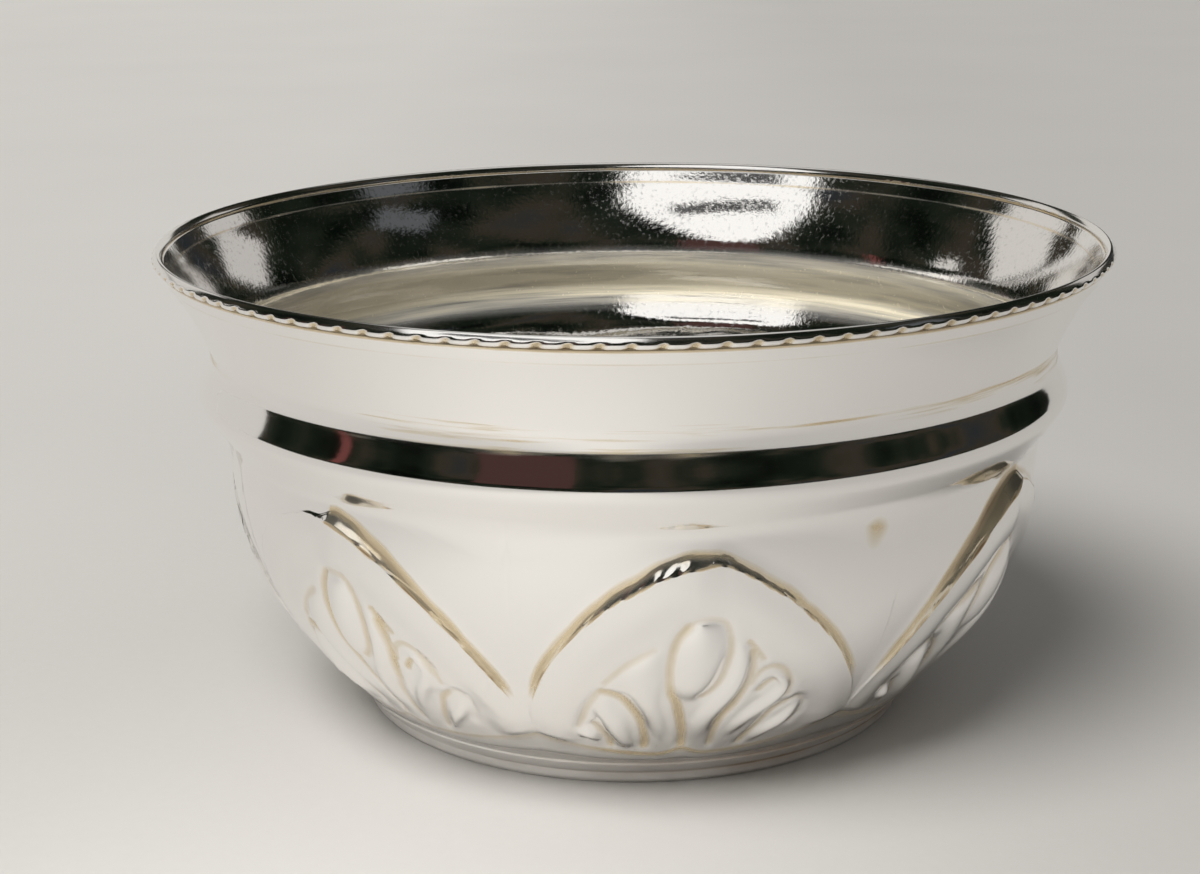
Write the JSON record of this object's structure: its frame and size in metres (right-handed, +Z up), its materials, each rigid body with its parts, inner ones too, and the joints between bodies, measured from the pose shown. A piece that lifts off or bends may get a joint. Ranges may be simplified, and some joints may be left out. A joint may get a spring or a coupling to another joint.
{
  "type": "bowl",
  "caption": "Small round silver bowl with a flared milled rim, a rounded shoulder, embossed arch panels with palmettes and a low foot ring.",
  "frame": {"origin": "on the bowl's axis, on the plane that the foot ring rests on", "axes": "+Z up along the bowl's axis; -Y faces the viewer, and the first embossed panel is turned 10 degrees from -Y towards +X"},
  "size_m": [0.091, 0.091, 0.0456],
  "materials": {
    "silver_body": "polished silver sheet with fine scratches and warm tarnish in the hollows",
    "silver_rim": "polished silver wire, tarnished brown in the milled notches",
    "silver_foot": "satin silver with fine turned lines"
  },
  "bodies": {
    "root": {"bowl_body": "silver_body", "rim_wire": "silver_rim", "foot_ring": "silver_foot"}
  },
  "joints": []
}
